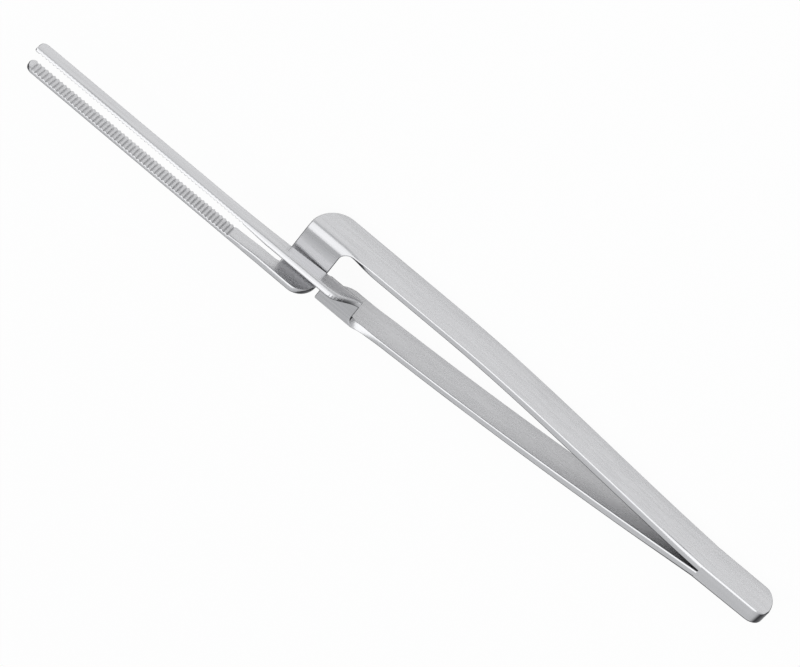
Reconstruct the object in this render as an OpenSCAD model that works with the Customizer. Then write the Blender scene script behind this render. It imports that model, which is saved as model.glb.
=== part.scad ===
// Articulating paper forceps: two sheet steel halves, welded at one end, that cross before the jaws.
// X runs from the welded end to the jaw tips, Y across the gap, Z up from the table.
// The origin is the middle of the welded end's flat lower edge; distances along X in the
// modules are counted from the rear end, and placed() moves them to the origin.
// The forceps lie on the long edges of both arms. All sizes are in millimetres.

/* [Overall] */
// Length from the welded end to the jaw tips
length = 150; // [130:1:170]
// Thickness of the sheet at the welded end
sheet_rear = 1.45; // [1.1:0.05:1.8]
// Thickness of the sheet at the crossing
sheet_front = 1.12; // [0.9:0.02:1.3]

/* [Welded end] */
// Length of the welded end
weld_length = 13.4; // [9:0.1:18]
// Width of both strips at the welded end
rear_width = 7.2; // [6:0.1:9]
// Length of the rounded corner at the table side
far_corner_length = 2.4; // [1.5:0.1:6]
// Radius of the upper corner
near_corner = 2.6; // [0.6:0.1:2.8]
// Straight part of the rear end between its corners
end_land = 0.5; // [0.3:0.1:2]
// Extra thickness at the front of the weld, on the lower arm's side
weld_flare = 0.25; // [0:0.05:0.4]
// Chamfer along the upper edges
edge_chamfer = 0.3; // [0.1:0.05:0.5]
// Flexing gap between the weld and each arm
root_gap = 0.04; // [0.03:0.01:0.08]

/* [Upper arm] */
// Width of the upper arm ahead of the weld
upper_width = 7.85; // [7.1:0.05:7.9]
// Distance of its outer face from the weld plane
upper_spread = 4.75; // [4.2:0.05:6.5]
// Slope of its outer face where it leaves the weld
upper_start_slope = 0.045; // [0.03:0.005:0.08]
// Distance from the welded end where it turns parallel
upper_bow_end = 70; // [55:1:78]

/* [Lower arm] */
// Width of the lower arm ahead of the weld
lower_width = 7; // [6.4:0.1:7.4]
// Distance of its outer face from the weld plane at the flange
lower_spread = 7; // [6.5:0.1:8]
// Slope of its outer face where it leaves the weld
lower_start_slope = 0.108; // [0.06:0.002:0.15]
// Slope of its outer face between the bow and the flange
lower_end_slope = 0.046; // [0:0.002:0.08]
// Distance from the welded end where the bow becomes straight
lower_bow_end = 72; // [60:1:76]

/* [Crossing] */
// Height of the upper face of both flanges
flange_top = 7.9; // [7.7:0.05:8.3]
// Outer radius of each soft bend
bend_radius = 1.65; // [1.4:0.05:1.8]
// Outer radius of the sharp fold between the lower arm and its flange
fold_outer = 0.6; // [0.3:0.05:1]
// Inner radius of that fold
fold_inner = 0.3; // [0.1:0.05:0.5]
// Distance from the welded end to the front of the upper arm
upper_front = 97.9; // [96:0.1:100]
// Length of the upper arm's flange
upper_flange = 7.25; // [5:0.05:7.5]
// Gap between the two flanges
flange_gap = 0.75; // [0.6:0.05:1.5]
// Length of the lower arm's flange
lower_flange = 6.8; // [5:0.1:8]
// Radius in the corner between arm and flange
flange_fillet = 1.75; // [0.8:0.05:2]
// Length over which the near edge of an arm rises to its flange
edge_run = 3.6; // [2:0.1:5]
// Height of that near edge at the flange, above the flange's underside
edge_rise = 0.9; // [0.3:0.05:1]
// Length of the rounded front corner of each arm
front_corner = 5.2; // [2:0.1:6]
// Length of the slanting rear end of the upper jaw's bar
bar_slant = 5.2; // [2:0.1:6]
// Length over which the bar's table side edge rises to the upper jaw
bar_run = 21; // [15:1:24]
// Length of the rounded rear corner of the lower jaw's ledge
ledge_corner = 3.4; // [1.5:0.1:5]
// Length of the hollow corner from the upper flange to the lower jaw
jaw_fillet = 0.9; // [0.4:0.1:1.5]
// Clearance between the upper flange and the bar that crosses over it
crossing_gap = 0.12; // [0.1:0.02:0.3]

/* [Jaws] */
// Outer face of the upper jaw from the weld plane
upper_jaw_face = 1.16; // [1:0.02:1.4]
// Outer face of the lower jaw from the weld plane
lower_jaw_face = 5.93; // [5.8:0.02:6.3]
// Height of the table side edge of both jaws at their tips
jaw_low = 9.0; // [8.9:0.05:9.4]
// Height of the upper edge of the upper jaw
upper_jaw_high = 11.6; // [11.2:0.05:12]
// Height of the upper edge of the lower jaw
lower_jaw_high = 11.75; // [11.2:0.05:12.1]
// Height of the lower jaw's upper edge at its ledge
ledge_high = 12.15; // [11.2:0.05:12.4]
// Thickness of the upper jaw over its teeth
upper_jaw_thick = 0.83; // [0.7:0.01:0.9]
// Thickness of the lower jaw over its teeth
lower_jaw_thick = 0.88; // [0.7:0.01:0.9]
// Radius along the upper outer edge of the upper jaw
jaw_round = 0.8; // [0.3:0.05:0.8]
// How much shorter the lower jaw is
lower_jaw_short = 0.1; // [0:0.05:1]
// Radius of the table side corner at each tip
tip_corner = 1.1; // [0.3:0.05:1.2]
// Radius of the upper corner at the lower jaw's tip
lower_tip_corner = 1.5; // [0.3:0.05:1.5]
// Cut on the upper corner at the upper jaw's tip and on the inner edge of both tips
tip_cut = 0.25; // [0.1:0.05:0.4]
// Length of the ramp from the full sheet to the ground teeth
ramp_length = 4.5; // [2:0.1:6]
// Distance from the front of the upper arm to the ramp
ramp_start = 3.6; // [2:0.1:6]

/* [Teeth] */
// Distance between two teeth
tooth_pitch = 0.77; // [0.5:0.01:1.2]
// Depth of the teeth
tooth_depth = 0.3; // [0.15:0.01:0.35]
// Plain length at the tip of each jaw
tooth_free = 0.8; // [0.4:0.1:2]

/* [Hidden] */
$fn = 64;
eps = 0.01;
steps = 28;
arm_start = weld_length;
far_corner_height = rear_width - near_corner - end_land;
bend_in = bend_radius - sheet_front;
upper_flange_rear = upper_front - upper_flange;
lower_front = upper_flange_rear - flange_gap;
lower_flange_rear = lower_front - lower_flange;
flange_low = flange_top - sheet_front;
bend_line = flange_top - bend_radius;
bar_low = flange_top + crossing_gap;
ledge_flat = flange_low + bend_radius;
ramp_foot = upper_front + ramp_start;
ramp_end = ramp_foot + ramp_length;
tall = 2 * ledge_high;
wide = 4 * lower_spread;

// A smooth curve from y0 to y1 with the slopes m0 and m1 at its ends.
function curve(x, x0, x1, y0, y1, m0, m1) =
    let (d = x1 - x0, s = (x - x0) / d)
    y0 * (2 * s * s * s - 3 * s * s + 1) + d * m0 * (s * s * s - 2 * s * s + s)
    + y1 * (3 * s * s - 2 * s * s * s) + d * m1 * (s * s * s - s * s);

function sheet_at(x, x1) =
    x >= x1 ? sheet_front : sheet_rear + (sheet_front - sheet_rear) * (x - arm_start) / (x1 - arm_start);

function upper_face(x) =
    x >= upper_bow_end ? upper_spread
    : curve(x, arm_start, upper_bow_end, sheet_rear, upper_spread, upper_start_slope, 0);

function lower_face(x) =
    x >= lower_flange_rear ? lower_spread
    : x >= lower_bow_end ? lower_spread - lower_end_slope * (lower_flange_rear - x)
    : curve(x, arm_start, lower_bow_end, sheet_rear + weld_flare, lower_face(lower_bow_end),
        lower_start_slope, lower_end_slope);

// Points on a quarter ellipse about a centre, from angle a to angle b.
function arc_points(cx, cy, rx, ry, a, b, n) =
    [for (i = [0 : n]) let (w = a + (b - a) * i / n) [cx + rx * cos(w), cy + ry * sin(w)]];

// Stands a flat outline up in the XZ plane, thick in Y.
module standing(depth) {
    rotate([90, 0, 0])
        linear_extrude(height = depth, center = true)
            children();
}

// Runs a YZ section along X from x0 over a length.
module along(x0, run) {
    translate([x0, 0, 0])
        rotate([90, 0, 90])
            linear_extrude(height = run)
                children();
}

// One quarter of a bend, in the quadrant given by the signs.
module bend(cy, cz, sy, sz) {
    translate([cy, cz])
        intersection() {
            difference() {
                circle(r = bend_radius);
                circle(r = bend_in);
            }
            translate([sy > 0 ? 0 : -2 * bend_radius, sz > 0 ? 0 : -2 * bend_radius])
                square(2 * bend_radius);
        }
}

// The lower arm's fold and flange in section: sharp outside, out to y1 from the outer face y0.
module sharp_fold(y0, y1) {
    inner = y0 - sheet_front;
    polygon(concat(
        [[inner, bend_line], [y0, bend_line]],
        arc_points(y0 - fold_outer, flange_top - fold_outer, fold_outer, fold_outer, 0, 90, 8),
        [[y1, flange_top], [y1, flange_low]],
        arc_points(inner - fold_inner, flange_low - fold_inner, fold_inner, fold_inner, 90, 0, 6)
    ));
}

// The concave corner left between an arm's inner face and a flange's rear edge.
module flange_web(x_rear, y_inner, sy) {
    translate([0, 0, flange_low])
        linear_extrude(height = sheet_front)
            difference() {
                translate([x_rear - flange_fillet, sy > 0 ? y_inner : y_inner - flange_fillet])
                    square([flange_fillet + eps, flange_fillet]);
                translate([x_rear - flange_fillet, y_inner + sy * flange_fillet])
                    circle(r = flange_fillet);
            }
}

// Near edge of an arm seen from the side, from the weld to the rear of its flange.
function near_edge(bow_end, flange_rear, edge, edge_end) =
    let (x0 = flange_rear - edge_run)
    concat(
        [[arm_start, rear_width], [bow_end, edge]],
        [for (i = [0 : 6])
            let (x = x0 + edge_run * i / 6)
            [x, curve(x, x0, flange_rear, edge, edge_end, 0, (edge_end - edge) / edge_run)]]
    );

// Rounded front of an arm seen from the side, from the flange down to the table.
function front_arc(front) =
    arc_points(front - front_corner, flange_top, front_corner, flange_top, 0, -90, 24);

// The sheet of an arm: up to the bend under its flange, full height behind it.
module arm_sheet(flange_rear) {
    linear_extrude(height = bend_line)
        children();
    intersection() {
        linear_extrude(height = flange_top)
            children();
        translate([0, -wide / 2, 0])
            cube([flange_rear, wide, tall]);
    }
}

// Teeth of one jaw as points, from the ramp to the tip; y is the tooth tops, dy towards the roots.
function teeth(x0, x1, y, dy) =
    let (n = floor((x1 - x0) / tooth_pitch))
    [for (i = [0 : n - 1]) for (k = [0, 1])
        [x1 - (n - i) * tooth_pitch + k * tooth_pitch / 2, y + k * dy]];

module welded_end() {
    front = arm_start - root_gap;
    flare_angle = atan(weld_flare / front);
    color("silver")
        difference() {
            intersection() {
                standing(wide)
                    polygon(concat(
                        [[front, 0], [front, rear_width]],
                        arc_points(near_corner, rear_width - near_corner, near_corner, near_corner,
                            90, 180, 16),
                        arc_points(far_corner_length, far_corner_height, far_corner_length,
                            far_corner_height, 180, 270, 24)
                    ));
                linear_extrude(height = tall)
                    polygon([
                        [0, -sheet_rear],
                        [front, -sheet_rear],
                        [front, sheet_rear + weld_flare],
                        [0, sheet_rear]
                    ]);
            }
            for (side = [-1, 1])
                translate([0, side * sheet_rear, rear_width])
                    rotate([0, 0, side > 0 ? flare_angle : 0])
                        translate([near_corner, 0, 0])
                            rotate([45, 0, 0])
                                translate([-eps, -edge_chamfer / sqrt(2), -edge_chamfer / sqrt(2)])
                                    cube([arm_start, edge_chamfer * sqrt(2), edge_chamfer * sqrt(2)]);
        }
}

// Upper half seen from the side: arm, rounded front, then the ledge and the lower jaw.
module upper_outline() {
    tip = length - lower_jaw_short;
    polygon(concat(
        [[arm_start, 0]],
        near_edge(upper_bow_end, upper_flange_rear, upper_width, upper_width),
        [[upper_flange_rear, flange_top]],
        [for (p = arc_points(upper_flange_rear + ledge_corner, flange_low,
            ledge_corner, ledge_high - flange_low, 180, 90, 24)) if (p[1] > flange_top) p],
        arc_points(tip - lower_tip_corner, lower_jaw_high - lower_tip_corner,
            lower_tip_corner, lower_tip_corner, 90, 0, 10),
        arc_points(tip - tip_corner, jaw_low + tip_corner, tip_corner, tip_corner, 0, -90, 8),
        arc_points(upper_front + jaw_fillet, ledge_flat, jaw_fillet, jaw_low - ledge_flat, 90, 180, 6),
        front_arc(upper_front)
    ));
}

// Upper arm seen from above: the bowed sheet, thinner towards the crossing.
module upper_strip() {
    xs = [for (i = [0 : steps]) arm_start + (upper_bow_end - arm_start) * i / steps];
    polygon(concat(
        [for (x = xs) [x, -upper_face(x)]],
        [[upper_front, -upper_spread], [upper_front, sheet_front - upper_spread]],
        [for (i = [steps : -1 : 0])
            [xs[i], sheet_at(xs[i], upper_bow_end) - upper_face(xs[i]) - root_gap / 2]]
    ));
}

// Ledge and lower jaw seen from above: full sheet, ramp, teeth and the plain tip.
module lower_jaw_plan() {
    tip = length - lower_jaw_short;
    yl = lower_jaw_face;
    full = yl - sheet_front;
    crest = yl - lower_jaw_thick;
    polygon(concat(
        [[upper_flange_rear, yl], [upper_flange_rear, full], [ramp_foot, full], [ramp_end, crest]],
        teeth(ramp_end, tip - tooth_free, crest, tooth_depth),
        [[tip - tooth_free, crest], [tip - tip_cut, crest], [tip, crest + tip_cut], [tip, yl]]
    ));
}

module upper_arm() {
    yo = -upper_spread;
    yl = lower_jaw_face;
    color("lightgray") {
        intersection() {
            standing(wide)
                upper_outline();
            union() {
                arm_sheet(upper_flange_rear)
                    upper_strip();
                // Double fold that carries the sheet across to the other side.
                along(upper_flange_rear, upper_flange)
                    union() {
                        bend(yo + bend_radius, bend_line, -1, 1);
                        translate([yo + bend_radius, flange_low])
                            square([yl - yo - 2 * bend_radius, sheet_front]);
                        bend(yl - bend_radius, ledge_flat, 1, -1);
                    }
                translate([0, 0, ledge_flat])
                    linear_extrude(height = tall)
                        lower_jaw_plan();
            }
        }
        flange_web(upper_flange_rear, yo + sheet_front, 1);
    }
}

// Lower half seen from the side: arm, rounded front, then the bar and the upper jaw.
module lower_outline() {
    bar_end = upper_flange_rear + bar_run;
    polygon(concat(
        [[arm_start, 0]],
        near_edge(lower_bow_end, lower_flange_rear, lower_width, flange_low + edge_rise),
        [for (i = [0 : 10])
            let (x = lower_flange_rear + bar_slant * i / 10)
            [x, curve(x, lower_flange_rear, lower_flange_rear + bar_slant,
                ledge_flat, upper_jaw_high, 0.3, 0)]],
        [[length - tip_cut, upper_jaw_high], [length, upper_jaw_high - tip_cut]],
        arc_points(length - tip_corner, jaw_low + tip_corner, tip_corner, tip_corner, 0, -90, 8),
        [for (i = [12 : -1 : 0])
            let (x = upper_flange_rear + bar_run * i / 12)
            [x, curve(x, upper_flange_rear, bar_end, bar_low, jaw_low, 0.08, 0)]],
        [[lower_front, bar_low]],
        front_arc(lower_front)
    ));
}

// Lower arm seen from above: bowed, then straight, then parallel to the jaws at its flange.
module lower_strip() {
    xs = [for (i = [0 : steps]) arm_start + (lower_bow_end - arm_start) * i / steps];
    inner = lower_spread - sheet_front;
    polygon(concat(
        [for (x = xs) [x, lower_face(x)]],
        [[lower_flange_rear, lower_spread], [lower_front, lower_spread]],
        [[lower_front, inner], [lower_flange_rear, inner]],
        [for (i = [steps : -1 : 0])
            [xs[i], lower_face(xs[i]) - sheet_at(xs[i], lower_bow_end) + root_gap / 2]]
    ));
}

// Bar and upper jaw seen from above.
module upper_jaw_plan() {
    yl = upper_jaw_face;
    full = yl + sheet_front;
    crest = yl + upper_jaw_thick;
    polygon(concat(
        [[lower_flange_rear, yl], [lower_flange_rear, full], [ramp_foot, full], [ramp_end, crest]],
        teeth(ramp_end, length - tooth_free, crest, -tooth_depth),
        [[length - tooth_free, crest], [length - tip_cut, crest],
            [length, crest - tip_cut], [length, yl]]
    ));
}

// The bar stands on the flange's bend and runs on over the upper flange.
module bar_and_jaw() {
    translate([0, 0, ledge_flat])
        linear_extrude(height = tall)
            upper_jaw_plan();
    intersection() {
        translate([0, 0, bar_low])
            linear_extrude(height = tall)
                upper_jaw_plan();
        translate([lower_front, 0, 0])
            cube([length, wide, tall]);
    }
}

module lower_arm() {
    yo = lower_spread;
    yl = upper_jaw_face;
    color("gainsboro") {
        intersection() {
            standing(wide)
                lower_outline();
            union() {
                arm_sheet(lower_flange_rear)
                    lower_strip();
                along(lower_flange_rear, lower_flange)
                    union() {
                        sharp_fold(yo, yl + bend_radius);
                        bend(yl + bend_radius, ledge_flat, -1, -1);
                    }
                // The bar's outer upper edge is rounded.
                intersection() {
                    bar_and_jaw();
                    along(lower_flange_rear, length)
                        union() {
                            square([yl + jaw_round, upper_jaw_high - jaw_round]);
                            translate([yl + jaw_round, 0])
                                square([sheet_front, upper_jaw_high]);
                            translate([yl + jaw_round, upper_jaw_high - jaw_round])
                                circle(r = jaw_round);
                        }
                }
            }
        }
        flange_web(lower_flange_rear, yo - sheet_front, -1);
    }
}

module placed() {
    translate([-(far_corner_length + arm_start - root_gap) / 2, 0, 0])
        children();
}

placed() welded_end();
placed() upper_arm();
placed() lower_arm();
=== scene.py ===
# %% [markdown]
# # Articulating paper forceps in brushed steel
# The real forceps are two strips of sheet steel. Each strip is cut flat, ground with fine teeth
# at one end, folded twice so that it crosses over to the other side, and the two are welded
# together at the rear. They could be modelled as boxes that are pushed together, but then the
# folds and the rounded edges would have to be faked. Here each strip is made as the maker makes
# it: a flat plate with softened edges first, and only then folded.

import math

import bmesh
import bpy
from mathutils import Matrix, Vector


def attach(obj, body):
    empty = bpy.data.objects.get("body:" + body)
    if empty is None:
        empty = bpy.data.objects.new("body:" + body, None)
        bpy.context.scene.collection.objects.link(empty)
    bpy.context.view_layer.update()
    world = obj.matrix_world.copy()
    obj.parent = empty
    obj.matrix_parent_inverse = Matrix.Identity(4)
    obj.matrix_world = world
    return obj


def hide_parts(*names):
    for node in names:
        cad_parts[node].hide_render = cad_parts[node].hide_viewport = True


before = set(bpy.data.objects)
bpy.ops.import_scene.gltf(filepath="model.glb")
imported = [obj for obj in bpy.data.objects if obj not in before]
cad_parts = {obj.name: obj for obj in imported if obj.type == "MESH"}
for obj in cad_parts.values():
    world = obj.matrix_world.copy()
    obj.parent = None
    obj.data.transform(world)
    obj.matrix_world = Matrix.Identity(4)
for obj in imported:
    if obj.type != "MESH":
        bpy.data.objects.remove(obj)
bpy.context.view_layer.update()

# %% [markdown]
# ## Sizes
# All sizes are in millimetres and are the ones of the CAD model, so the dressed pieces sit on its
# solids. Distances along X are counted from the rear end; `rear_shift` moves them to the frame,
# whose origin is the middle of the welded end's flat lower edge.

# %% Sizes of the two strips
MM = 0.001
length = 150.0
sheet_rear, sheet_front = 1.45, 1.12
weld_length, rear_width = 13.4, 7.2
far_corner_length, near_corner, end_land = 2.4, 2.6, 0.5
far_corner_height = rear_width - near_corner - end_land
weld_flare, root_gap = 0.25, 0.04
rear_shift = (far_corner_length + weld_length - root_gap) / 2
flange_top, bend_radius, front_corner = 7.9, 1.65, 5.2
flange_low = flange_top - sheet_front
bend_line = flange_top - bend_radius
ledge_flat = flange_low + bend_radius
jaw_low, tip_corner, tip_cut = 9.0, 1.1, 0.25
ledge_corner, jaw_fillet, bar_fillet = 3.4, 0.9, 0.5
crossing_gap, bar_run, bar_slant = 0.12, 21.0, 5.2
ramp_foot, ramp_end = 101.5, 106.0
tooth_pitch, tooth_depth, tooth_free = 0.77, 0.3, 0.8
bend_run = bend_radius * math.pi / 2
print("sheet", sheet_rear, "to", sheet_front, "mm, rear shift", round(rear_shift, 3), "mm")


# %% [markdown]
# ## The bow of the arms
# Seen from above each arm bows outwards and back, like a spring. A cubic curve with a given slope
# at each end draws that bow, the same one as in the CAD model.

# %% Curves seen from above
def curve(x, x0, x1, y0, y1, m0, m1):
    d = x1 - x0
    s = (x - x0) / d
    return (
        y0 * (2 * s**3 - 3 * s**2 + 1)
        + d * m0 * (s**3 - 2 * s**2 + s)
        + y1 * (3 * s**2 - 2 * s**3)
        + d * m1 * (s**3 - s**2)
    )


def smooth(s):
    s = min(max(s, 0.0), 1.0)
    return s * s * (3 - 2 * s)


upper = dict(
    name="upper_half", side=1, face=4.75, ledge=5.93, front=97.9, flange=7.25, bow_end=70.0,
    width=7.85, fillet_run=1.9, fillet_rise=1.9, ledge_high=12.15, jaw_high=11.75,
    jaw_thick=0.88, tip=length - 0.1, tip_round=1.5, fold=(1.65, 0.53), round_over=0.12,
)
lower = dict(
    name="lower_half", side=-1, face=7.0, ledge=-1.16, front=89.9, flange=6.8, bow_end=72.0,
    width=7.0, fillet_run=3.2, fillet_rise=2.0, ledge_high=11.6, jaw_high=11.6,
    jaw_thick=0.83, tip=length, tip_round=0.0, fold=(0.6, 0.3), round_over=0.95,
)
for half in (upper, lower):
    half["rear"] = half["front"] - half["flange"]
upper_start, lower_start, lower_slope = 0.045, 0.108, 0.046


def outer_face(half, x):
    """Distance of an arm's outer face from the weld plane."""
    if half is upper:
        if x >= half["bow_end"]:
            return half["face"]
        return curve(x, weld_length, half["bow_end"], sheet_rear, half["face"], upper_start, 0)
    if x >= half["rear"]:
        return half["face"]
    bow_face = half["face"] - lower_slope * (half["rear"] - half["bow_end"])
    if x >= half["bow_end"]:
        return half["face"] - lower_slope * (half["rear"] - x)
    root = sheet_rear + weld_flare
    return curve(x, weld_length, half["bow_end"], root, bow_face, lower_start, lower_slope)


def sheet_at(half, x):
    s = min(max((x - weld_length) / (half["bow_end"] - weld_length), 0), 1)
    return sheet_rear + (sheet_front - sheet_rear) * s


print("upper arm 50 mm from the rear:", round(outer_face(upper, 50), 2), "mm out")


# %% [markdown]
# ## How a flat plate is folded
# A point of the flat plate has a distance x along the strip, a distance w across it and a depth
# between its top side (0) and its underside (1). The section of the folded strip is: up the arm,
# round the first bend, across the flange, round the second bend, up the ledge. Both sides of the
# sheet are followed on their own, so the sheet keeps its thickness round the bends, and the lower
# arm can have a sharp outer fold.

# %% The folded section
def corner(share, leg, radius):
    """How far up the first leg and along the second leg of a right angle a point is."""
    straight = leg - radius
    d = share * (2 * straight + radius * math.pi / 2)
    if d < straight:
        return d, 0.0
    d -= straight
    if d < radius * math.pi / 2:
        return straight + radius * math.sin(d / radius), radius * (1 - math.cos(d / radius))
    return leg, radius + d - radius * math.pi / 2


def lines_of(half):
    """The four lines across the plate where a bend starts or ends."""
    flat = half["ledge"] + half["face"] - 2 * bend_radius
    w1 = bend_line
    w2 = w1 + bend_run
    w3 = w2 + flat
    return w1, w2, w3, w3 + bend_run


def folded(half, w, under):
    """Y and Z of the top side or underside of the folded section, arm to the left."""
    w1, w2, w3, w4 = lines_of(half)
    y0, y1 = -half["face"], half["ledge"]
    sheet = sheet_front if under else 0.0
    if w < w1:
        return y0 + sheet, w
    if w < w2:
        leg = bend_radius - sheet
        up, along = corner((w - w1) / bend_run, leg, half["fold"][1 if under else 0])
        return y0 + sheet + along, bend_line + up
    if w < w3:
        return y0 + bend_radius + w - w2, flange_top - sheet
    if w < w4:
        leg = bend_radius if under else bend_radius - sheet_front
        along, up = corner((w - w3) / bend_run, leg, leg)
        return y1 - bend_radius + along, flange_top - sheet + up
    return y1 - (0.0 if under else sheet_front), ledge_flat + w - w4


def jaw_sheet(half, x):
    """Thickness of the sheet on the jaw: full, then a ramp, then teeth, then the plain tip."""
    thick = half["jaw_thick"]
    if x <= ramp_foot:
        return sheet_front
    if x <= ramp_end:
        return sheet_front + (thick - sheet_front) * (x - ramp_foot) / (ramp_end - ramp_foot)
    last = half["tip"] - tooth_free
    count = int((last - ramp_end) / tooth_pitch)
    first = last - count * tooth_pitch
    if first < x < last:
        phase = ((x - first) / tooth_pitch) % 1.0
        return thick - tooth_depth * (1 - abs(2 * phase - 1))
    return thick


print("bend lines of the upper plate:", [round(w, 2) for w in lines_of(upper)])

# %% [markdown]
# Next to each flange the arm's long edge is pulled round into the fold, as sheet is when it is
# bent beside a notch. `place` fades from the flat arm to the folded section there, and from the
# bend to the upright bar in front of the flange.

# %% Place of a point of the plate
curl = 6.5
uncurl = 0.9
bar_end_slope = 0.3


def bar_end(x):
    """Height of the bar's slanting rear end."""
    start = lower["rear"]
    return curve(
        x, start, start + bar_slant, ledge_flat, lower["ledge_high"], bar_end_slope, 0
    )


def top_edge(half, x):
    """Distance across the plate of the ledge's and the jaw's free edge."""
    w4 = lines_of(half)[3]
    start = half["rear"]
    if half["side"] < 0 and x < start + bar_slant:
        return w4 + bar_end(max(x, start)) - ledge_flat
    s = min(max((x - start) / (half["tip"] - start), 0), 1)
    return w4 + half["ledge_high"] + (half["jaw_high"] - half["ledge_high"]) * s - ledge_flat


def side_point(half, x, w, under):
    """Y and Z of a point on one side of the sheet."""
    w4 = lines_of(half)[3]
    sheet = sheet_at(half, x)
    flat = (-outer_face(half, x) + (sheet if under else 0.0), w)
    thick = jaw_sheet(half, x)
    upright = (half["ledge"] - (0.0 if under else thick), ledge_flat + w - w4)
    bent = folded(half, w, under)
    if x < half["rear"]:
        s = smooth((x - half["rear"] + curl) / curl)
        return tuple(a + (b - a) * s for a, b in zip(flat, bent))
    if x <= half["front"]:
        return bent
    s = smooth((x - half["front"]) / uncurl)
    return tuple(a + (b - a) * s for a, b in zip(bent, upright))


def place(half, x, w, depth):
    """A point of the flat plate, in millimetres, to its place on the folded strip."""
    if half["side"] < 0 and w > lines_of(half)[3] - 1.0:
        # Round the bar's and the upper jaw's outer upper edge over.
        r = half["round_over"]
        gap = top_edge(half, x) - w
        if 0 <= gap < r:
            inset = r - math.sqrt(max(r * r - (r - gap) ** 2, 0.0))
            depth = min(depth, 1 - inset / sheet_front) if depth > 0.5 else depth
    top = side_point(half, x, w, False)
    under = side_point(half, x, w, True)
    y, z = (a + (b - a) * depth for a, b in zip(top, under))
    return Vector((x - rear_shift, y * half["side"], z)) * MM


jaw_tip = place(upper, length, top_edge(upper, length), 1)
print("lower jaw's tip at", [round(c * 1000, 2) for c in jaw_tip])


# %% [markdown]
# ## The flat plates
# A plate's outline is drawn in x and w, with the rounded front corner of the arm, the hollow
# corner beside the flange and the rounded tips. Corners are quarter ellipses. The front corner
# and the ledge's corner were rounded after folding, so their heights are carried back to w.

# %% Outline of a plate
bar_low_slope = 0.08


def ellipse(cx, cy, rx, ry, a, b, n):
    angles = [math.radians(a + (b - a) * i / n) for i in range(n + 1)]
    return [(cx + rx * math.cos(t), cy + ry * math.sin(t)) for t in angles]


def across_for_height(half, z, under, low, high):
    """The distance across the plate whose folded height is z, by halving the interval."""
    for _ in range(40):
        middle = (low + high) / 2
        if folded(half, middle, under)[1] < z:
            low = middle
        else:
            high = middle
    return (low + high) / 2


def plate_outline(half):
    w1, w2, w3, w4 = lines_of(half)
    rear, front, tip = half["rear"], half["front"], half["tip"]
    edge, run, rise = half["width"], half["fillet_run"], half["fillet_rise"]
    points = [(weld_length, 0.0), (weld_length, rear_width), (half["bow_end"], edge)]
    points += ellipse(rear - run, edge + rise, run, rise, -90, 0, 10)
    if half is upper:
        rise_high = half["ledge_high"] - flange_low
        corner_points = ellipse(
            rear + ledge_corner, flange_low, ledge_corner, rise_high, 180, 90, 20
        )
        points += [(x, across_for_height(half, z, True, w3, w4 + 4)) for x, z in corner_points[1:]]
    else:
        for i in range(19):
            x = rear + bar_slant * i / 18
            points.append((x, w4 + bar_end(x) - ledge_flat))
    top, low = w4 + half["jaw_high"] - ledge_flat, w4 + jaw_low - ledge_flat
    if half["tip_round"]:
        r = half["tip_round"]
        points += ellipse(tip - r, top - r, r, r, 90, 0, 10)
    else:
        points += [(tip - tip_cut, top), (tip, top - tip_cut)]
    points += ellipse(tip - tip_corner, low + tip_corner, tip_corner, tip_corner, 0, -90, 8)
    if half is upper:
        points += ellipse(front + jaw_fillet, w4, jaw_fillet, low - w4, 90, 180, 6)
    else:
        bar_low = flange_top + crossing_gap
        start, end = upper["rear"], upper["rear"] + bar_run
        for i in range(12, -1, -1):
            x = start + (end - start) * i / 12
            z = curve(x, start, end, bar_low, jaw_low, bar_low_slope, 0)
            points.append((x, w4 + z - ledge_flat))
        under_bar = w4 + bar_low - ledge_flat - bar_fillet
        points += ellipse(front + bar_fillet, under_bar, bar_fillet, bar_fillet, 90, 180, 5)
    for x, z in ellipse(front - front_corner, flange_top, front_corner, flange_top, 0, -90, 24):
        points.append((x, across_for_height(half, z, False, 0, w2)))
    kept = []
    for p in points:
        if not kept or math.dist(p, kept[-1]) > 0.02:
            kept.append(p)
    return kept


for half in (upper, lower):
    half["outline"] = plate_outline(half)
    print(half["name"], "outline of", len(half["outline"]), "points")

# %% [markdown]
# ## From outline to plate
# The outline becomes one face, which is extruded to a plate one millimetre thick. The plate's
# long edges are bevelled while it is still flat, because a bevel is clean on a flat plate. Then
# it is cut across with bisect wherever the sheet will bend, bow or carry a tooth, and last every
# point goes to its folded place. A bend that is made of many narrow faces with smooth shading
# looks like one soft curve.

# %% Helpers for edit mode
plate_sheet = 1.0
edge_bevel = 0.2


def only(obj):
    bpy.ops.object.select_all(action="DESELECT")
    obj.select_set(True)
    bpy.context.view_layer.objects.active = obj


def select_edges(obj, wanted):
    """Selects edges in edit mode by a rule on their middle and their faces' normals."""
    bm = bmesh.from_edit_mesh(obj.data)
    for e in bm.edges:
        e.select_set(False)
    picked = [e for e in bm.edges if wanted(e)]
    for e in picked:
        e.select_set(True)
    bm.select_flush_mode()
    bmesh.update_edit_mesh(obj.data)
    return len(picked)


def cap_edge(e):
    """An edge between a flat side of the plate and its cut edge, except at the root."""
    if len(e.link_faces) != 2:
        return False
    flats = [abs(f.normal.z) > 0.9 for f in e.link_faces]
    at_root = all(abs(v.co.x - weld_length * MM) < 1e-6 for v in e.verts)
    return flats[0] != flats[1] and not at_root


def cut_at(values, axis):
    """Cuts the plate with planes across x or w."""
    normal = (1, 0, 0) if axis == 0 else (0, 1, 0)
    for value in values:
        bpy.ops.mesh.select_all(action="SELECT")
        at = (value * MM, 0, 0) if axis == 0 else (0, value * MM, 0)
        bpy.ops.mesh.bisect(plane_co=at, plane_no=normal, threshold=1e-7)


def span(a, b, step):
    """Values between a and b, both left out, about a step apart."""
    count = max(int(round((b - a) / step)), 1)
    return [a + (b - a) * i / count for i in range(1, count)]


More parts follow.
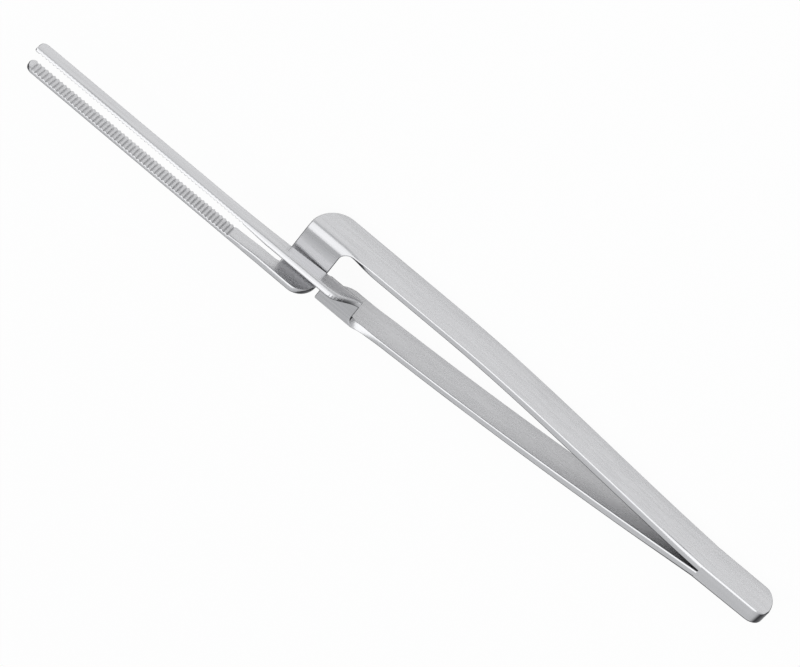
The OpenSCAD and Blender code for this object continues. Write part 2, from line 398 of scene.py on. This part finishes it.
print("bevel on the plates' edges:", edge_bevel, "mm")


# %% Cuts along and across a plate
def cuts_along(half):
    rear, front, tip = half["rear"], half["front"], half["tip"]
    cuts = span(weld_length, rear - curl, 2.2) + [rear - curl] + span(rear - curl, rear, 0.45)
    cuts += [rear] + span(rear, front, 0.45) + [front] + span(front, front + uncurl, 0.15)
    cuts += [front + uncurl] + span(front + uncurl, ramp_foot, 1.5) + [ramp_foot]
    cuts += span(ramp_foot, ramp_end, 1.0) + [ramp_end]
    last = tip - tooth_free
    count = int((last - ramp_end) / tooth_pitch)
    cuts += [last - i * tooth_pitch / 2 for i in range(2 * count + 1)]
    return cuts


def cuts_across(half):
    w1, w2, w3, w4 = lines_of(half)
    bend_steps = bend_run / 10
    cuts = [2.0, 4.0, w1] + span(w1, w2, bend_steps) + [w2, w2 + 0.7, w2 + 1.4]
    cuts += [w3] + span(w3, w4, bend_steps) + [w4]
    r = half["round_over"]
    top = w4 + half["ledge_high"] - ledge_flat
    cuts += span(w4, top - r, 0.4)
    cuts += [top - r * (1 - math.sin(math.radians(a))) for a in range(0, 90, 12)]
    return cuts


print("cuts:", len(cuts_along(upper)), "along and", len(cuts_across(upper)), "across")


# %% Flat plate, bevelled and cut
def make_plate(half):
    points = [(x * MM, w * MM, 0.0) for x, w in half["outline"]]
    mesh = bpy.data.meshes.new(half["name"])
    mesh.from_pydata(points, [], [list(range(len(points)))])
    plate = bpy.data.objects.new(half["name"], mesh)
    bpy.context.scene.collection.objects.link(plate)
    only(plate)
    bpy.ops.object.mode_set(mode="EDIT")
    bpy.ops.mesh.select_mode(type="FACE")
    bpy.ops.mesh.select_all(action="SELECT")
    bpy.ops.mesh.extrude_region_move(TRANSFORM_OT_translate={"value": (0, 0, plate_sheet * MM)})
    bpy.ops.mesh.select_all(action="SELECT")
    bpy.ops.mesh.normals_make_consistent(inside=False)
    bpy.ops.mesh.select_mode(type="EDGE")
    count = select_edges(plate, cap_edge)
    bpy.ops.mesh.bevel(
        offset=edge_bevel * MM, offset_type="OFFSET", segments=3, profile=0.5, clamp_overlap=False
    )
    cut_at(cuts_along(half), 0)
    cut_at(cuts_across(half), 1)
    bpy.ops.object.mode_set(mode="OBJECT")
    for face in plate.data.polygons:
        face.material_index = 1 if abs(face.normal.z) < 0.9 else 0
    print(half["name"], count, "edges bevelled,", len(plate.data.polygons), "faces")
    return plate


plates = {half["name"]: make_plate(half) for half in (upper, lower)}

# %% [markdown]
# ## Folding
# The rear of the polished edge is a wider chamfer, which runs out about 30 mm from the rear end.
# It is widened here as the plate is folded. Folding the lower half mirrors it, so its faces are
# turned outwards again.

# %% Fold the plates
chamfer_gain = 0.9
chamfer_end = 30.0


def near_edge_at(half, x):
    s = min(max((x - weld_length) / (half["bow_end"] - weld_length), 0), 1)
    return rear_width + (half["width"] - rear_width) * s


def soften(piece):
    """Smooth shading by angle, with normals that keep the large flats flat."""
    only(piece)
    bpy.ops.object.shade_smooth_by_angle(angle=math.radians(35))
    flats = piece.modifiers.new("flats", "WEIGHTED_NORMAL")
    flats.keep_sharp = True
    flats.weight = 60
    bpy.ops.object.modifier_apply(modifier=flats.name)


def fold_plate(half, plate):
    for v in plate.data.vertices:
        x, w, depth = v.co.x / MM, v.co.y / MM, v.co.z / MM / plate_sheet
        gain = 1 + chamfer_gain * (1 - smooth((x - weld_length) / (chamfer_end - weld_length)))
        gap = near_edge_at(half, x) - w
        if x < chamfer_end and gap <= edge_bevel + 1e-4 and depth <= edge_bevel + 1e-4:
            w, depth = w + gap - gap * gain, depth * gain
        v.co = place(half, x, w, depth)
    only(plate)
    bpy.ops.object.mode_set(mode="EDIT")
    bpy.ops.mesh.select_all(action="SELECT")
    bpy.ops.mesh.remove_doubles(threshold=1e-7)
    bpy.ops.mesh.normals_make_consistent(inside=False)
    bpy.ops.object.mode_set(mode="OBJECT")
    soften(plate)


for half in (upper, lower):
    fold_plate(half, plates[half["name"]])
    print(half["name"], "folded:", [round(d * 1000, 2) for d in plates[half["name"]].dimensions])

# %% [markdown]
# ## The welded end
# At the rear the two strips are welded and ground into one block with a rounded end. A cube with
# bevelled corners would do for a plain end, but here the two corners have different curves, so
# the side outline is drawn, extruded to the block's width and bevelled. Last it is flared a
# little towards the lower arm, as the weld is a wedge seen from above.

# %% Welded end
def make_welded_end():
    t, flare = sheet_rear, weld_flare
    side = [(weld_length, 0.0), (weld_length, rear_width)]
    side += ellipse(near_corner, rear_width - near_corner, near_corner, near_corner, 90, 180, 14)
    far_run, far_rise = far_corner_length, far_corner_height
    side += ellipse(far_run, far_rise, far_run, far_rise, 180, 270, 16)
    points = [((x - rear_shift) * MM, -t * MM, z * MM) for x, z in side]
    mesh = bpy.data.meshes.new("welded_block")
    mesh.from_pydata(points, [], [list(range(len(points)))])
    block = bpy.data.objects.new("welded_block", mesh)
    bpy.context.scene.collection.objects.link(block)
    only(block)
    bpy.ops.object.mode_set(mode="EDIT")
    bpy.ops.mesh.select_mode(type="FACE")
    bpy.ops.mesh.select_all(action="SELECT")
    bpy.ops.mesh.extrude_region_move(TRANSFORM_OT_translate={"value": (0, 2 * t * MM, 0)})
    bpy.ops.mesh.select_all(action="SELECT")
    bpy.ops.mesh.normals_make_consistent(inside=False)
    bpy.ops.mesh.select_mode(type="EDGE")
    front_x = (weld_length - rear_shift) * MM

    def long_edge(e):
        if len(e.link_faces) != 2:
            return False
        flats = [abs(f.normal.y) > 0.9 for f in e.link_faces]
        return flats[0] != flats[1] and not all(abs(v.co.x - front_x) < 1e-6 for v in e.verts)

    count = select_edges(block, long_edge)
    bpy.ops.mesh.bevel(
        offset=edge_bevel * (1 + chamfer_gain) * MM, offset_type="OFFSET", segments=3,
        profile=0.5, clamp_overlap=False,
    )
    bpy.ops.object.mode_set(mode="OBJECT")
    for face in block.data.polygons:
        face.material_index = 1 if abs(face.normal.y) < 0.9 else 0
    for v in block.data.vertices:
        share = (v.co.y / MM + t) / (2 * t)
        along = (v.co.x / MM + rear_shift) / weld_length
        v.co.y += share * flare * along * MM
    soften(block)
    print("welded end:", count, "edges bevelled,", len(block.data.polygons), "faces")
    return block


welded_block = make_welded_end()

# %% [markdown]
# ## Brushed steel
# The flats are brushed along the length: fine scratches that show as soft streaks. A picture of
# scratches could give them, but noise on Object coordinates that is stretched along X needs no
# picture and no unwrapping. It gives a faint bump and a change of roughness. The group is used
# twice, once for the satin flats and once, fainter, for the polished cut edges.

# %% Grain group
def build_grain():
    group = bpy.data.node_groups.new("brushed_grain", "ShaderNodeTree")
    face = group.interface
    for name, value in (("Fineness", 1.0), ("Depth", 0.2), ("Roughness", 0.3), ("Spread", 0.08)):
        socket = face.new_socket(name, in_out="INPUT", socket_type="NodeSocketFloat")
        socket.default_value = value
    face.new_socket("Roughness", in_out="OUTPUT", socket_type="NodeSocketFloat")
    face.new_socket("Normal", in_out="OUTPUT", socket_type="NodeSocketVector")
    face.new_socket("Streaks", in_out="OUTPUT", socket_type="NodeSocketFloat")
    n, link = group.nodes, group.links.new
    entry, leave = n.new("NodeGroupInput"), n.new("NodeGroupOutput")
    place_node, scale = n.new("ShaderNodeTexCoord"), n.new("ShaderNodeMapping")
    scale.inputs["Scale"].default_value = (60, 2600, 2600)
    fine = n.new("ShaderNodeTexNoise")
    fine.inputs["Detail"].default_value = 3
    link(place_node.outputs["Object"], scale.inputs["Vector"])
    link(scale.outputs["Vector"], fine.inputs["Vector"])
    link(entry.outputs["Fineness"], fine.inputs["Scale"])
    wide_scale = n.new("ShaderNodeMapping")
    wide_scale.inputs["Scale"].default_value = (18, 420, 420)
    wide = n.new("ShaderNodeTexNoise")
    wide.inputs["Detail"].default_value = 2
    link(place_node.outputs["Object"], wide_scale.inputs["Vector"])
    link(wide_scale.outputs["Vector"], wide.inputs["Vector"])
    bump = n.new("ShaderNodeBump")
    bump.inputs["Distance"].default_value = 0.00002
    link(fine.outputs["Fac"], bump.inputs["Height"])
    link(entry.outputs["Depth"], bump.inputs["Strength"])
    link(bump.outputs["Normal"], leave.inputs["Normal"])
    centred = n.new("ShaderNodeMath")
    centred.operation = "SUBTRACT"
    centred.inputs[1].default_value = 0.5
    link(wide.outputs["Fac"], centred.inputs[0])
    spread = n.new("ShaderNodeMath")
    spread.operation = "MULTIPLY_ADD"
    link(centred.outputs[0], spread.inputs[0])
    link(entry.outputs["Spread"], spread.inputs[1])
    link(entry.outputs["Roughness"], spread.inputs[2])
    link(spread.outputs[0], leave.inputs["Roughness"])
    link(wide.outputs["Fac"], leave.inputs["Streaks"])
    print("grain group with", len(n), "nodes")
    return group


grain = build_grain()


# %% [markdown]
# ## Two finishes
# Both are the same metal. The flats are satin and a little darker, the ground and polished edges
# are smoother and lighter. Seen at a glancing angle the rounded edges mirror the dark room beside
# the light table, which draws a thin dark line round the forceps. That dark reflection is painted:
# a Layer Weight darkens the base colour towards glancing angles. The Principled shader stays in
# each material and takes its roughness and normal from the group.

# %% Steel materials
def steel(name, light, dark, roughness, spread, depth, painted_rim_from, painted_rim_to):
    mat = bpy.data.materials.new(name)
    mat.use_nodes = True
    n, link = mat.node_tree.nodes, mat.node_tree.links.new
    shader = n["Principled BSDF"]
    shader.inputs["Metallic"].default_value = 1.0
    grain_node = n.new("ShaderNodeGroup")
    grain_node.node_tree = grain
    grain_node.inputs["Roughness"].default_value = roughness
    grain_node.inputs["Spread"].default_value = spread
    grain_node.inputs["Depth"].default_value = depth
    tone = n.new("ShaderNodeMix")
    tone.data_type = "RGBA"
    tone.inputs["A"].default_value = (*dark, 1)
    tone.inputs["B"].default_value = (*light, 1)
    link(grain_node.outputs["Streaks"], tone.inputs["Factor"])
    # Painted reflection: towards glancing angles the base colour is mixed to near black, in place
    # of the dark room mirrored in the rounded edges.
    rim = n.new("ShaderNodeLayerWeight")
    painted_rim_shade = n.new("ShaderNodeMapRange")
    painted_rim_shade.interpolation_type = "SMOOTHSTEP"
    painted_rim_shade.inputs["From Min"].default_value = painted_rim_from
    painted_rim_shade.inputs["From Max"].default_value = painted_rim_to
    link(rim.outputs["Facing"], painted_rim_shade.inputs["Value"])
    outline = n.new("ShaderNodeMix")
    outline.data_type = "RGBA"
    outline.inputs["B"].default_value = (0.04, 0.04, 0.045, 1)
    link(painted_rim_shade.outputs["Result"], outline.inputs["Factor"])
    link(tone.outputs["Result"], outline.inputs["A"])
    link(outline.outputs["Result"], shader.inputs["Base Color"])
    link(grain_node.outputs["Roughness"], shader.inputs["Roughness"])
    link(grain_node.outputs["Normal"], shader.inputs["Normal"])
    return mat


# The last two numbers set where the painted dark rim begins and where it is full.
satin = steel("satin_steel", (0.80, 0.80, 0.81), (0.62, 0.62, 0.63), 0.28, 0.12, 0.35, 0.62, 0.82)
polished = steel(
    "polished_edge", (0.84, 0.84, 0.85), (0.77, 0.77, 0.78), 0.3, 0.06, 0.08, 0.27, 0.46
)
for piece in (*plates.values(), welded_block):
    piece.data.materials.append(satin)
    piece.data.materials.append(polished)
print("materials", satin.name, polished.name)

# %% [markdown]
# ## Tied to the frame
# Each half rides the body of its arm, so it turns with the spring hinge at the weld, and stands
# for the CAD solid of that arm. The block stands for the welded end.

# %% Ride and replace
carried = (
    (plates["upper_half"], "upper_arm"),
    (plates["lower_half"], "lower_arm"),
    (welded_block, "welded_end"),
)
for piece, body in carried:
    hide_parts(body)
    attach(piece, body)
    print(piece.name, "rides", body)

# %% [markdown]
# ## Floor, light and camera
# The photograph is a studio shot on white: no horizon, a very soft light all round and one wide
# white panel that the bends reflect. The floor is a light table that the camera sees as white,
# and the steel sees a dimmer one, so the polished edges stay readable.

# %% Floor
bpy.ops.object.select_all(action="DESELECT")
bpy.ops.mesh.primitive_plane_add(size=6.0, location=(0.06, 0, -0.00005))
floor = bpy.context.object
floor.name = "floor"
floor_mat = bpy.data.materials.new("light_table")
floor_mat.use_nodes = True
fn, flink = floor_mat.node_tree.nodes, floor_mat.node_tree.links.new
floor_shader = fn["Principled BSDF"]
floor_shader.inputs["Base Color"].default_value = (0.93, 0.93, 0.93, 1)
floor_shader.inputs["Roughness"].default_value = 0.9
floor_shader.inputs["Specular IOR Level"].default_value = 0.0
glow = fn.new("ShaderNodeEmission")
glow.inputs["Strength"].default_value = 1.0
share = fn.new("ShaderNodeMapRange")
share.inputs["To Min"].default_value = 0.34
share.inputs["To Max"].default_value = 0.94
seen = fn.new("ShaderNodeLightPath")
table_mix = fn.new("ShaderNodeMixShader")
flink(seen.outputs["Is Camera Ray"], share.inputs["Value"])
flink(share.outputs["Result"], table_mix.inputs["Fac"])
flink(floor_shader.outputs["BSDF"], table_mix.inputs[1])
flink(glow.outputs["Emission"], table_mix.inputs[2])
flink(table_mix.outputs["Shader"], fn["Material Output"].inputs["Surface"])
floor.data.materials.append(floor_mat)
print("floor", floor.name)

# %% World
world = bpy.data.worlds.new("studio")
bpy.context.scene.world = world
world.use_nodes = True
wn, wlink = world.node_tree.nodes, world.node_tree.links.new
surround = wn["Background"]
surround.inputs["Color"].default_value = (0.97, 0.98, 1, 1)
surround.inputs["Strength"].default_value = 0.55
backdrop = wn.new("ShaderNodeBackground")
backdrop.inputs["Color"].default_value = (1, 1, 1, 1)
path = wn.new("ShaderNodeLightPath")
mix = wn.new("ShaderNodeMixShader")
wlink(path.outputs["Is Camera Ray"], mix.inputs["Fac"])
wlink(surround.outputs["Background"], mix.inputs[1])
wlink(backdrop.outputs["Background"], mix.inputs[2])
wlink(mix.outputs["Shader"], wn["World Output"].inputs["Surface"])
print("world", world.name)

# %% Camera
elevation_from_top = math.radians(36.0)
distance = 0.550
pixels_per_metre = 6137.0
roll = math.radians(39.9)
target = Vector((0.07528 - rear_shift * MM, 0.0020, 0.0068))
back = Vector((0, -math.sin(elevation_from_top), math.cos(elevation_from_top)))
along = Vector((-1, 0, 0))
across = Vector((0, -math.cos(elevation_from_top), -math.sin(elevation_from_top)))
right = math.cos(roll) * along + math.sin(roll) * across
up = -math.sin(roll) * along + math.cos(roll) * across
camera = bpy.data.objects.new("camera", bpy.data.cameras.new("camera"))
bpy.context.scene.collection.objects.link(camera)
turn = Matrix((right, up, back)).transposed().to_4x4()
turn.translation = target + distance * back
camera.matrix_world = turn
camera.data.sensor_width = 36
camera.data.lens = pixels_per_metre * distance / 800 * 36
camera.data.clip_start = 0.01
bpy.context.scene.camera = camera
print("camera", [round(c, 4) for c in camera.location], "lens", round(camera.data.lens, 1))


# %% Lights
def panel(name, place_at, power, size, size_y):
    light = bpy.data.lights.new(name, "AREA")
    light.shape = "RECTANGLE"
    light.size, light.size_y, light.energy = size, size_y, power
    lamp = bpy.data.objects.new(name, light)
    lamp.location = place_at
    lamp.rotation_euler = (target - Vector(place_at)).to_track_quat("-Z", "Y").to_euler()
    bpy.context.scene.collection.objects.link(lamp)
    return lamp


def around(angle, far):
    """A place over the forceps, from the front horizon at 0 degrees over the top to 180."""
    a = math.radians(angle)
    return (target.x, target.y - far * math.cos(a), target.z + far * math.sin(a))


panel("panel_over", around(67, 0.7), 3.3, 1.1, 1.34)
bpy.context.scene.view_settings.view_transform = "Standard"
print("one wide panel")
